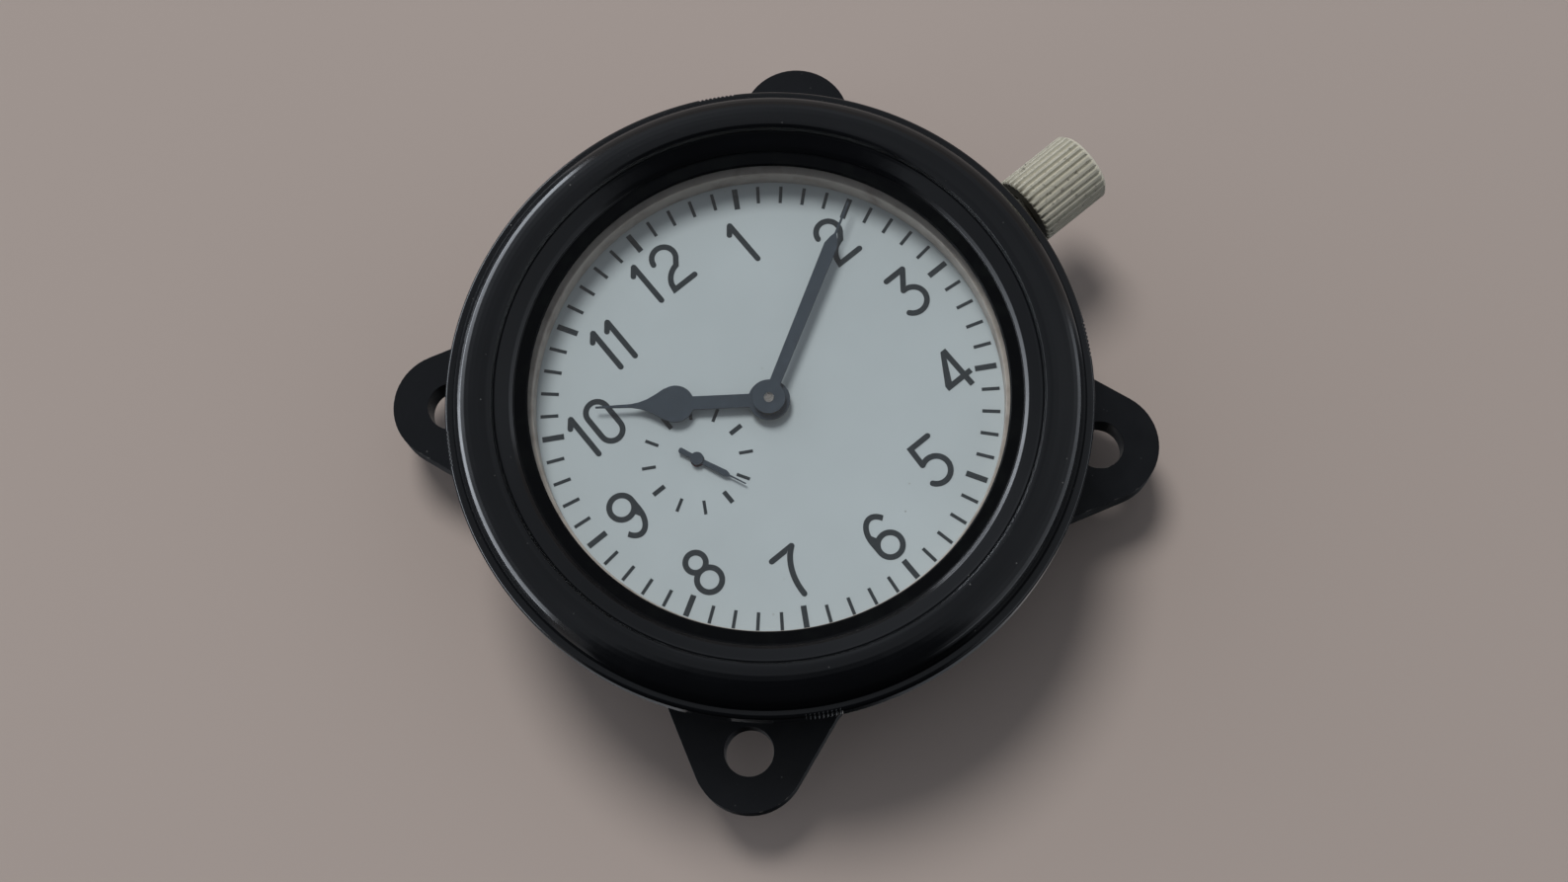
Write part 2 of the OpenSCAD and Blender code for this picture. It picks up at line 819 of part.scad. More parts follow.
// The hole for a screw and its sunk head, from the rear face of a bridge
module screw_hole(p, z, top) {
  at(p) disc(screw_r + run, z - 1, top + 1);
  at(p) disc(head_r + fit, z - 1, z + head_t);
}

module barrel_bridge() {
  edge_x = 0.2;
  edge_y = 4.6;
  color("#cfbd8c")
    difference() {
      intersection() {
        disc(bridge_r, bridge_z, plate_z);
        translate([0, 0, bridge_z - 1])
          linear_extrude(height = plate_z - bridge_z + 2)
            polygon([
              [-edge_x, 6], [-edge_x, plate_r], [plate_r, plate_r],
              [plate_r, -edge_y], [6.5, -edge_y], [6.5, 0]
            ]);
      }
      disc(centre_m * (centre_n / 2 + 1) + 0.6, bridge_z - 1, plate_z + 1);
      at(barrel_p) disc(barrel_pocket_r, barrel_z - 0.3, plate_z + 1);
      at(barrel_p) disc(arbor_r + run, bridge_z - 1, plate_z);
      keyless_slot(slot_x, bridge_z + 0.15, plate_z + 1);
      keyless_slot(pinion_x - 0.15, bridge_z - 1, plate_z + 1);
      stem_bores();
      for (p = [crown_wheel_p, click_p])
        at(p) disc(screw_r + run, bridge_z - 1, plate_z + 1);
      for (p = barrel_screws)
        screw_hole(p, bridge_z, plate_z);
    }
}

module train_bridge() {
  color("#cfbd8c")
    difference() {
      union() {
        intersection() {
          disc(bridge_r, train_bridge_z, train_bridge_top);
          translate([0, 0, train_bridge_z - 1])
            linear_extrude(height = train_bridge_top - train_bridge_z + 2)
              polygon([
                [2.4, 2.3], [2.4, -3.5], [8, -8.6], [7.2, -12.6], [-3, -18], [-12, -16],
                [-19.6, -6], [-19.6, 1], [-16.4, 5], [-14, 4.9], [-11.2, 3], [-8, 2.3]
              ]);
        }
        for (p = train_feet)
          at(p) disc(foot_r, train_bridge_z, plate_z);
      }
      for (p = train_feet)
        screw_hole(p, train_bridge_z, plate_z);
      for (p = [centre_p, third_p, fourth_p, escape_p])
        at(p) disc(jewel_r, train_bridge_z - 1, train_bridge_top + 1);
    }
}

module pallet_cock() {
  color("#cfbd8c")
    difference() {
      union() {
        bar(pallet_p, pallet_foot, 2.1, pallet_cock_z, pallet_cock_z + pallet_cock_t);
        at(pallet_foot) disc(head_r + 0.55, pallet_cock_z, plate_z);
      }
      at(pallet_p) disc(jewel_r, pallet_cock_z - 1, pallet_cock_z + 2);
      screw_hole(pallet_foot, pallet_cock_z, plate_z);
    }
}

module balance_cock() {
  stud_p = balance_p + polar(hairspring_r + 0.45, 0);
  color("#cfbd8c")
    difference() {
      union() {
        bar(cock_foot, balance_p, 4, cock_z, cock_top);
        at(cock_foot) disc(foot_r + 0.2, cock_z, plate_z);
        at(balance_p) disc(2.6, cock_z, cock_top);
        bar(balance_p, stud_p, 1.2, cock_z, cock_top);
        at(stud_p) disc(0.35, cock_z, hairspring_z + hairspring_t);
      }
      at(balance_p) disc(jewel_r, cock_z - 1, cock_top + 1);
      screw_hole(cock_foot, cock_z, plate_z);
    }
}

module bridge_screws() {
  grip = 1.3;
  click_grip = 0.75;
  color("#47566b") {
    for (p = barrel_screws)
      at(p) screw(bridge_z, plate_z + grip);
    for (p = train_feet)
      at(p) screw(train_bridge_z, plate_z + grip);
    at(cock_foot) screw(cock_z, plate_z + grip);
    at(pallet_foot) screw(pallet_cock_z, plate_z + grip);
    at(crown_wheel_p) screw(winding_z - head_t - run, bridge_z + grip);
    at(click_p) screw(winding_z - head_t - run, bridge_z + click_grip);
  }
}

// A jewel with its pivot hole
module jewel(p, hole, z0, z1) {
  at(p) ring(jewel_r, hole + run / 2, z0, z1);
}

module jewels() {
  color("#b0243c") {
    for (p = [third_p, escape_p, pallet_p, balance_p])
      jewel(p, pivot_r, plate_z + 0.1, plate_z + 0.9);
    jewel(fourth_p, seconds_pivot_r, plate_z + 0.1, plate_top - 0.2);
    for (p = [third_p, fourth_p, escape_p])
      jewel(p, pivot_r, train_bridge_z + 0.2, train_bridge_top);
    jewel(centre_p, centre_pivot_r, train_bridge_z + 0.2, train_bridge_top);
    jewel(pallet_p, pivot_r, pallet_cock_z, pallet_cock_z + pallet_cock_t);
    jewel(balance_p, pivot_r, cock_z + 0.2, cock_top);
  }
}

module barrel_drum() {
  color("#c4a45c")
    at(barrel_p)
      difference() {
        union() {
          gear(barrel_n, barrel_m, 0.44, 0.95, 1.2, barrel_z, barrel_z + 0.6);
          disc(barrel_wall_r, barrel_z, barrel_top);
        }
        disc(barrel_bore_r, barrel_z + drum_floor, barrel_top + 1);
        disc(arbor_r + run, barrel_z - 1, barrel_top + 1);
      }
}

module barrel_cover() {
  color("#c4a45c")
    at(barrel_p)
      ring(barrel_bore_r, arbor_r + run, barrel_top - drum_floor, barrel_top);
}

module mainspring() {
  strip = 0.16;
  color("#7d8288")
    at(barrel_p)
      spiral(
        hook_r + 0.5, barrel_bore_r - strip, 8, strip,
        barrel_z + drum_floor + fit, barrel_top - drum_floor - fit
      );
}

module barrel_arbor() {
  color("#9fa3a6")
    at(barrel_p) {
      disc(barrel_pivot_r, barrel_top, plate_top - 0.1);
      disc(arbor_r, winding_z + winding_t, barrel_top + fit);
      disc(hook_r, barrel_z + drum_floor + fit, barrel_top - drum_floor - fit);
      translate([-arbor_square / 2, -arbor_square / 2, winding_z])
        cube([arbor_square, arbor_square, winding_t + fit]);
    }
}

module ratchet_wheel() {
  hole = arbor_square + 2 * press;
  color("#b4b8ba")
    at(barrel_p)
      difference() {
        gear(ratchet_n, winding_m, 0.44, 0.8, 1.1, winding_z, winding_z + winding_t);
        translate([-hole / 2, -hole / 2, winding_z - 1])
          cube([hole, hole, winding_t + 2]);
      }
}

module ratchet_screw() {
  head = 0.5;
  color("#47566b")
    at(barrel_p)
      difference() {
        disc(1.5, winding_z - head, winding_z);
        translate([-2, -0.2, winding_z - head - 1])
          cube([4, 0.4, 1.25]);
      }
}

module crown_wheel() {
  color("#b4b8ba")
    at(crown_wheel_p)
      difference() {
        gear(
          crown_wheel_n, winding_m, 0.44, 0.8, 1.1,
          winding_z, winding_z + winding_t, crown_wheel_a
        );
        disc(screw_r + run, winding_z - 1, winding_z + 2);
      }
}

module click() {
  beak = barrel_p + polar(ratchet_tip_r + 0.75, -16);
  color("#b4b8ba")
    difference() {
      union() {
        at(click_p) disc(head_r + 0.3, winding_z, winding_z + winding_t);
        bar(click_p, beak, 0.7, winding_z, winding_z + winding_t);
      }
      at(click_p) disc(screw_r + run, winding_z - 1, winding_z + 2);
    }
}

module click_spring() {
  foot = click_p + [2.2, 2.8];
  color("#9fa3a6") {
    bar(foot, click_p + [2.2, -3.4], 0.3, winding_z, winding_z + winding_t);
    at(foot) disc(0.8, winding_z, bridge_z);
  }
}

module centre_arbor() {
  color("#9fa3a6") {
    disc(centre_pivot_r, train_bridge_z + 0.4, plate_z);
    disc(centre_hub_r, train_bridge_top + run, plate_z);
    disc(centre_r, plate_z - 0.1, plate_top);
    disc(centre_post_r, plate_top - 0.1, minute_hand_z + hand_t);
    translate([0, 0, minute_hand_z + hand_t])
      cylinder(r1 = centre_post_r, r2 = centre_post_r / 2, h = 0.18);
    pinion(centre_pinion_n, barrel_m, centre_pinion_z, centre_pinion_z + 0.8, centre_pinion_a);
  }
}

module centre_wheel() {
  color("#c4a45c")
    wheel(centre_n, centre_m, centre_wheel_z, 0, 1.3, centre_hub_r + press);
}

// A train arbor with a pivot at each end
module arbor(p, r, z0, z1) {
  at(p) {
    disc(pivot_r, z0 - 0.7, z1 + 0.7);
    disc(r, z0 + run, z1 - run);
  }
}

module third_arbor() {
  color("#9fa3a6") {
    arbor(third_p, train_arbor_r, train_bridge_top, plate_z);
    at(third_p)
      pinion(third_pinion_n, centre_m, third_pinion_z, third_pinion_z + pinion_t, third_pinion_a);
  }
}

module third_wheel() {
  color("#c4a45c")
    at(third_p)
      wheel(third_n, third_m, third_wheel_z, 0, 1.1, train_arbor_r + press);
}

module fourth_arbor() {
  color("#9fa3a6")
    at(fourth_p) {
      disc(pivot_r, train_bridge_top - 0.7, plate_z);
      disc(train_arbor_r, train_bridge_top + run, plate_z - run);
      disc(seconds_pivot_r, plate_z - 0.5, seconds_hand_z + hand_t);
      pinion(fourth_pinion_n, third_m, fourth_pinion_z, fourth_pinion_z + pinion_t, fourth_pinion_a);
    }
}

module fourth_wheel() {
  color("#c4a45c")
    at(fourth_p)
      wheel(fourth_n, fourth_m, fourth_wheel_z, 0, 1, train_arbor_r + press);
}

module escape_arbor() {
  color("#9fa3a6") {
    arbor(escape_p, escape_arbor_r, train_bridge_top, plate_z);
    at(escape_p)
      pinion(
        escape_pinion_n, fourth_m, escape_pinion_z, escape_pinion_z + pinion_t, escape_pinion_a
      );
  }
}

module escape_wheel() {
  root = escape_tip_r - 0.7;
  tooth = [
    [0, root], [4, root + 0.05], [9, escape_tip_r - 0.15],
    [10, escape_tip_r], [13, escape_tip_r - 0.1], [9.5, root]
  ];
  color("#b4b8ba")
    at(escape_p)
      difference() {
        translate([0, 0, escape_wheel_z])
          linear_extrude(height = wheel_t)
            polygon([
              for (i = [0 : escape_n - 1])
                for (s = tooth)
                  polar(s[1], 360 / escape_n * i + s[0])
            ]);
        crossings(root - 0.4, 0.9, 4, escape_wheel_z);
        disc(escape_arbor_r + press, escape_wheel_z - 1, escape_wheel_z + 2);
      }
}

// Middle of each pallet stone, clear of the escape wheel's tips
stone_points = [
  for (side = [-1, 1])
    escape_p + polar(escape_tip_r + 0.95, lever_a + 30 * side)
];
stone_len = 1;
stone_w = 0.34;
stone_t = 0.24;

// Children at each pallet stone
module each_stone() {
  for (p = stone_points)
    at(p)
      rotate([0, 0, lever_a])
        children();
}

module pallet_fork() {
  horn = balance_p - polar(roller_r + 0.57, lever_a);
  color("#b4b8ba")
    difference() {
      union() {
        arbor(pallet_p, 0.45, pallet_cock_z + pallet_cock_t, plate_z);
        for (p = stone_points)
          bar(pallet_p, p, 0.9, fork_z, fork_z + fork_t);
        bar(pallet_p, horn, 0.6, fork_z, fork_z + fork_t);
        at(horn) disc(0.5, fork_z, fork_z + fork_t);
      }
      at(horn + polar(0.45, lever_a)) disc(0.25, fork_z - 1, fork_z + 1);
      each_stone()
        translate([-0.7, -stone_w / 2, fork_z - 1])
          cube([stone_len, stone_w, stone_t + 1]);
    }
}

module pallet_stones() {
  color("#b0243c")
    each_stone()
      translate([-0.7, -stone_w / 2, fork_z])
        cube([stone_len, stone_w, stone_t]);
}

module balance_wheel() {
  rim_w = 0.8;
  color("#c4a45c")
    at(balance_p)
      difference() {
        union() {
          ring(balance_r, balance_r - rim_w, balance_z, balance_z + balance_t);
          bar(
            polar(balance_r - 0.6, 0), polar(balance_r - 0.6, 180), 1.1,
            balance_z + 0.1, balance_z + 0.5
          );
          disc(1.1, balance_z, balance_z + balance_t);
        }
        disc(staff_r, balance_z - 1, balance_z + 2);
      }
}

module balance_screws() {
  screw_count = 14;
  color("#d0b56c")
    at(balance_p)
      for (i = [0 : screw_count - 1])
        rotate([0, 0, 360 / screw_count * (i + 0.5)])
          translate([balance_r, 0, balance_z + balance_t / 2])
            rotate([0, 90, 0])
              cylinder(r = 0.3, h = 0.4, $fn = 24);
}

module balance_staff() {
  color("#9fa3a6") {
    arbor(balance_p, staff_r, cock_top, plate_z);
    at(balance_p) disc(collet_r, hairspring_z, hairspring_z + hairspring_t);
  }
}

module roller() {
  color("#b4b8ba")
    at(balance_p) {
      ring(roller_r, staff_r, roller_z, roller_z + 0.25);
      at(polar(roller_r - 0.35, lever_a + 180)) disc(0.16, fork_z - run, roller_z + 0.1);
    }
}

module hairspring() {
  color("#5b6f8c")
    at(balance_p)
      spiral(collet_r + 0.15, hairspring_r, 6, 0.1, hairspring_z, hairspring_z + hairspring_t);
}

module regulator() {
  top = cock_z - run;
  bottom = top - 0.3;
  color("#b4b8ba")
    at(balance_p) {
      ring(2.2, jewel_r + 0.4, bottom, top);
      bar(polar(2, 150), polar(5.2, 150), 0.5, bottom, top);
    }
}

module cannon_pinion() {
  color("#9fa3a6")
    difference() {
      union() {
        pinion(cannon_n, motion_m, lower_work_z, lower_work_z + 0.35, 0);
        disc(cannon_r, lower_work_z, minute_hand_z);
      }
      disc(centre_post_r, lower_work_z - 1, minute_hand_z + 1);
    }
}

module minute_wheel() {
  color("#c4a45c")
    at(minute_p)
      difference() {
        union() {
          gear(
            minute_n, motion_m, 0.44, 0.95, 1.2,
            lower_work_z, lower_work_z + wheel_t, minute_wheel_a
          );
          pinion(minute_pinion_n, hour_m, lower_work_z, upper_work_z + 0.35, 0);
        }
        disc(minute_post_r + run, lower_work_z - 1, upper_work_z + 2);
      }
}

module hour_wheel() {
  color("#c4a45c")
    difference() {
      union() {
        gear(
          hour_n, hour_m, 0.44, 0.95, 1.2,
          upper_work_z, upper_work_z + wheel_t, hour_wheel_a
        );
        disc(hour_tube_r, upper_work_z, hour_hand_z + hand_t);
      }
      disc(cannon_r + run, upper_work_z - 1, hour_hand_z + 1);
    }
}

module setting_wheel() {
  color("#b4b8ba")
    at(setting_p)
      difference() {
        gear(
          setting_n, motion_m, 0.44, 0.95, 1.2,
          lower_work_z, lower_work_z + wheel_t, setting_wheel_a
        );
        disc(setting_post_r + run, lower_work_z - 1, lower_work_z + 2);
      }
}

module minute_hand() {
  hub_r = 1.65;
  neck_y = minute_len - 4.9;
  color("#3b4145")
    rotate([0, 0, -minute_angle])
      difference() {
        union() {
          translate([0, 0, minute_hand_z])
            linear_extrude(height = hand_t)
              polygon([
                [-0.55, 0], [-0.58, hub_r], [-0.7, neck_y], [-0.4, neck_y + 0.8],
                [-0.12, neck_y + 1.3], [-0.1, minute_len], [0.1, minute_len],
                [0.12, neck_y + 1.3], [0.4, neck_y + 0.8], [0.7, neck_y], [0.58, hub_r], [0.55, 0]
              ]);
          disc(hub_r, minute_hand_z, minute_hand_z + hand_t);
        }
        disc(centre_post_r, minute_hand_z - 1, minute_hand_z + 1);
      }
}

module hour_hand() {
  bulb_y = hour_len - 8;
  bulb_r = 1.9;
  arm_w = 1.4;
  spade = [[0.15, 1.88], [1.1, 1.62], [2, 1.05], [2.8, 0.62], [3.6, 0.34], [4.4, 0.19]];
  color("#3b4145")
    rotate([0, 0, -hour_angle])
      difference() {
        union() {
          translate([0, 0, hour_hand_z])
            linear_extrude(height = hand_t) {
              translate([-arm_w / 2, 0])
                square([arm_w, bulb_y]);
              polygon(concat(
                [for (s = spade) [-s[1], bulb_y + s[0]]],
                [[-0.09, hour_len], [0.09, hour_len]],
                [for (i = [len(spade) - 1 : -1 : 0]) [spade[i][1], bulb_y + spade[i][0]]]
              ));
            }
          translate([0, bulb_y, 0])
            disc(bulb_r, hour_hand_z, hour_hand_z + hand_t);
          disc(hour_tube_r + 0.6, hour_hand_z, hour_hand_z + hand_t);
        }
        disc(hour_tube_r, hour_hand_z - 1, hour_hand_z + 1);
      }
}

module seconds_hand() {
  color("#3b4145")
    at(fourth_p)
      rotate([0, 0, -seconds_angle])
        difference() {
          union() {
            translate([0, 0, seconds_hand_z])
              linear_extrude(height = hand_t)
                polygon([
                  [-0.28, -1.9], [-0.22, 0], [-0.31, 3.2], [-0.2, 3.5], [-0.07, 3.7], [-0.05, 5.5],
                  [0.05, 5.5], [0.07, 3.7], [0.2, 3.5], [0.31, 3.2], [0.22, 0], [0.28, -1.9],
                  [0.16, -2.05], [-0.16, -2.05]
                ]);
            disc(0.65, seconds_hand_z, seconds_hand_z + 0.4);
          }
          disc(seconds_pivot_r, seconds_hand_z - 1, seconds_hand_z + hand_t);
        }
}

module stem() {
  color("#9fa3a6")
    difference() {
      union() {
        along_stem(pilot_r, pilot_x, clutch_x);
        translate([clutch_x - slide, -square_w / 2, stem_z - square_w / 2])
          cube([pinion_x - clutch_x + slide + 0.1, square_w, square_w]);
        along_stem(stem_r, pinion_x, crown_x);
        along_stem(thread_r, crown_x - 1, crown_x + 4);
      }
      difference() {
        along_stem(stem_r + 1, lever_groove_x - groove_w / 2, lever_groove_x + groove_w / 2);
        along_stem(0.5, lever_groove_x - 1, lever_groove_x + 1);
      }
    }
}

// Teeth cut round a piece on the stem's axis
module stem_gear(n, m, wide, add, ded, x0, x1) {
  translate([x0, 0, stem_z])
    rotate([0, 90, 0])
      gear(n, m, wide, add, ded, 0, x1 - x0);
}

module winding_pinion() {
  pinion_m = 0.24;
  collar_r = 1.35;
  color("#b4b8ba")
    difference() {
      union() {
        stem_gear(winding_pinion_n, pinion_m, 0.42, 0.9, 1.1, pinion_x, pinion_x + 1.6);
        along_stem(collar_r, pinion_x, pinion_x + pinion_len);
      }
      along_stem(stem_r + run, pinion_x - 1, pinion_x + pinion_len + 1);
    }
}

module clutch() {
  clutch_m = 0.18;
  hole = square_w + run;
  color("#b4b8ba")
    difference() {
      stem_gear(clutch_n, clutch_m, 0.45, 0.8, 1, clutch_x, clutch_x + clutch_len);
      difference() {
        along_stem(3, clutch_groove_x - groove_w / 2, clutch_groove_x + groove_w / 2);
        along_stem(1, clutch_groove_x - 1, clutch_groove_x + 1);
      }
      translate([clutch_x - 1, -hole / 2, stem_z - hole / 2])
        cube([clutch_len + 2, hole, hole]);
    }
}

// A flat lever with a pivot stud in the plate and a pin that reaches down to z
module stud_lever(pivot, tip, w, z) {
  top = lever_z + lever_t;
  bar(pivot, tip, w, lever_z, top);
  at(pivot) disc(1, lever_z, top);
  at(pivot) disc(stud_r - run, plate_z + 0.3, top);
  at(tip) disc(pin_r, z, top);
}

module setting_lever() {
  color("#b4b8ba")
    stud_lever(lever_pivot_p, [lever_groove_x, 0], 0.9, stem_z + 0.6);
}

module yoke() {
  color("#b4b8ba")
    stud_lever(yoke_pivot_p, [clutch_groove_x, 0], 0.8, stem_z + 1.1);
}

module crown() {
  ridge_h = 0.32;
  step = 360 / crown_ridges;
  tooth = [
    [-0.42, crown_r - ridge_h], [-0.18, crown_r], [0.18, crown_r], [0.42, crown_r - ridge_h]
  ];
  color("#b3ada0")
    difference() {
      intersection() {
        translate([crown_x, 0, stem_z])
          rotate([0, 90, 0])
            linear_extrude(height = crown_len)
              polygon([
                for (i = [0 : crown_ridges - 1])
                  for (s = tooth)
                    polar(s[1], step * (i + s[0]))
              ]);
        translate([crown_x, 0, stem_z])
          rotate([0, 90, 0])
            rotate_extrude()
              polygon([
                [0, 0], [crown_r - 0.15, 0], [crown_r + 0.1, 0.25],
                [crown_r + 0.1, crown_len - 0.7], [crown_r - 0.5, crown_len - 0.1],
                [crown_r - 0.9, crown_len], [0, crown_len]
              ]);
      }
      along_stem(tube_r + 0.4, crown_x - 1, crown_x + 3);
      along_stem(thread_r, crown_x, crown_x + 4);
    }
}

module crown_tube() {
  color("#8f8d86")
    difference() {
      along_stem(tube_r, ring_r + fit, crown_x + 1.2);
      along_stem(stem_r + run, plate_r, crown_x + 2);
    }
}

case_body();
rear_cover();
bezel();
glass();
glass_gasket();
spacer_ring();
dial();
dial_print();
movement_ring();
movement_clamps();
clamp_screws();
main_plate();
barrel_bridge();
train_bridge();
pallet_cock();
balance_cock();
bridge_screws();
jewels();
barrel_drum();
barrel_cover();
mainspring();
barrel_arbor();
ratchet_wheel();
ratchet_screw();
crown_wheel();
click();
click_spring();
centre_arbor();
centre_wheel();
third_arbor();
third_wheel();
fourth_arbor();
fourth_wheel();
escape_arbor();
escape_wheel();
pallet_fork();
pallet_stones();
balance_wheel();
balance_screws();
balance_staff();
roller();
hairspring();
regulator();
cannon_pinion();
minute_wheel();
hour_wheel();
minute_hand();
hour_hand();
seconds_hand();
setting_wheel();
stem();
winding_pinion();
clutch();
setting_lever();
yoke();
crown();
crown_tube();
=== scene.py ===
"""Looks of an aircraft panel clock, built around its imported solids. Lengths are in metres."""

import json
import math

import bmesh
import bpy
from mathutils import Matrix, Vector

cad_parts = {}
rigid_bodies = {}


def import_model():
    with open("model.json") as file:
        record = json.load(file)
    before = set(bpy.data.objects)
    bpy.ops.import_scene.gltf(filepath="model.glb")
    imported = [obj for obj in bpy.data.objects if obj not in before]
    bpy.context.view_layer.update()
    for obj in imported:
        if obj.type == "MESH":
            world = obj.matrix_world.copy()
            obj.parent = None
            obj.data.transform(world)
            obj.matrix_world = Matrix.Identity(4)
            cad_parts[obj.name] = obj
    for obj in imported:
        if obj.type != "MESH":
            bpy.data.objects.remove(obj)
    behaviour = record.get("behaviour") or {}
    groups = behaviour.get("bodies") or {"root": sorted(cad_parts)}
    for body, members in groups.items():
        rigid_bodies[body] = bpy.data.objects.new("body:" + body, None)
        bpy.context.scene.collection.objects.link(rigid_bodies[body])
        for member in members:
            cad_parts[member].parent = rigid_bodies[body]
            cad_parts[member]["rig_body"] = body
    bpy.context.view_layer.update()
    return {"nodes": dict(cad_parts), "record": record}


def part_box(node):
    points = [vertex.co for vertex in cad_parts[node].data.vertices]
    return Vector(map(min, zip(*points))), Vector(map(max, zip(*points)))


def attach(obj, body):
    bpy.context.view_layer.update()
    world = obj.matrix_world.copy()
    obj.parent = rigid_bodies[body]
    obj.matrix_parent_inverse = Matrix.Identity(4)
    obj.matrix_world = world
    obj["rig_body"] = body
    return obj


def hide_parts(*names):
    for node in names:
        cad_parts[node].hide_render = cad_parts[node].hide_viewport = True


MM = 0.001
FULL_TURN = 2 * math.pi

# Camera: place and aim in millimetres of the clock's own frame, roll in degrees
CAMERA_AT = (-28.84, -48.25, 219.6)
CAMERA_AIM = (-1.33, -3.88, 17.0)
CAMERA_ROLL = 40.26
CAMERA_LENS = 48.07
CAMERA_SENSOR = 36.0
CAMERA_NEAR = 0.01

# Strengths of the world's light
CEILING_LIGHT = 0.42
DARK_SIDE_SHARE = 0.05
STRIP_LIGHT = 12.0
FAINT_STRIP_LIGHT = 2.0
GROUND_LIGHT = 0.1
BACKDROP_LIGHT = 1.0

# Sectors of the world's wall: azimuth, half width and soft edge, in degrees
DARK_SIDE = (232, 45, 6)
STRIP = (129, 45, 3)
FAINT_STRIP = (311, 35, 8)

# Sines of elevations: a part of the sky is absent at the first and full at the second
SKY_EDGE = (-0.01, 0.01)
DARK_SIDE_TOP = (0.997, 0.975)
STRIP_TOP = (0.5, 0.03)
OPEN_WALL_TOP = (0.3, 0.25)

# Soft lamp: direction in degrees, distance and size in metres, and power
KEY_AZIMUTH = 72.0
KEY_TILT = 30.0
KEY_DISTANCE = 2.4
KEY_SIZE = 0.9
KEY_POWER = 38.0

# Floor, in metres
FLOOR_SIZE = 6
FLOOR_BLOTCH = 0.12

# Bezel, in millimetres, with the bulge's steps in degrees
RIM_OVER_BULGE = 0.9
GLASS_OVER_WINDOW = 1.85
RIM_W = 3.0
RIM_H = 5.6
BULGE_LIFT = 0.1
BULGE_W = 3.45
BULGE_CORNER = 1.0
BULGE_STEP = 9
LEDGE_W = 1.3
LEDGE_H = 0.37

# Knurled patches on the rim, with angles in degrees and lengths in millimetres
PATCHES = 4
PATCH_START = 60.5
PATCH_GROOVES = 9
PATCH_MARGIN = 0.1
KNURL_STEP = 0.75
KNURL_DEPTH = 0.12
KNURL_BAND = 0.5

# Columns of the bezel's mesh, all round and on each half of a patch, and steps of its corners
RING_COLUMNS = 240
HALF_PATCH_COLUMNS = 36
CORNER_STEP = math.radians(14)

# Depth of the crown's grooves, in millimetres
CROWN_GROOVE = 0.32

# Rounded edges: points closer than this are one, flatter edges go, sharper edges are rounded
MERGE_DISTANCE = 1e-7
FLAT_ANGLE = math.radians(0.5)
EDGE_ANGLE = math.radians(35)

# A finished piece's second material is on its rounded edges, or on the bezel's ledge
SECOND_MATERIAL = 1

# Noise: its usual detail, and the span of its values that a finish is stretched over
NOISE_DETAIL = 4.0
NOISE_SPAN = (0.3, 0.7)

# Colours, as linear values
SKY_TINT = (0.90, 0.96, 1.05)
FLOOR_COLOUR = (0.36, 0.303, 0.272)
BACKDROP_COLOUR = (0.31, 0.285, 0.275)
BLACK_ENAMEL = (0.002, 0.0022, 0.0027)
GLOSS_DUST = (0.16, 0.16, 0.15)
SATIN_DUST = (0.13, 0.13, 0.125)
LEDGE_GRIME = (0.005, 0.006, 0.0055)
BARE_EDGE = (0.20, 0.19, 0.17)
DIAL_GREY = (0.425, 0.47, 0.48)
DIAL_SPECK = (0.20, 0.19, 0.17)
INK_SLATE = (0.021, 0.027, 0.031)
HAND_SLATE = (0.034, 0.045, 0.057)
RING_GREY = (0.36, 0.32, 0.28)
RING_GRIME = (0.13, 0.10, 0.08)
GLASS_DARK = (0.97, 0.99, 0.985)
GLASS_PALE = (0.985, 1.0, 0.995)
NICKEL = (0.46, 0.437, 0.354)
# Grime and painted shade for the crown's grooves near its base
NICKEL_GRIME_AND_SHADE = (0.10, 0.09, 0.065)
NICKEL_SPOT = (0.06, 0.05, 0.04)
BRASS = (0.60, 0.44, 0.19)
GILT = (0.66, 0.52, 0.28)
STEEL = (0.55, 0.55, 0.54)
BLUED = (0.05, 0.08, 0.20)
RUBY = (0.42, 0.02, 0.06)
RUBBER_DARK = (0.012, 0.012, 0.012)
RUBBER_PALE = (0.03, 0.03, 0.028)


def shade(colour, factor):
    return tuple(c * factor for c in colour)


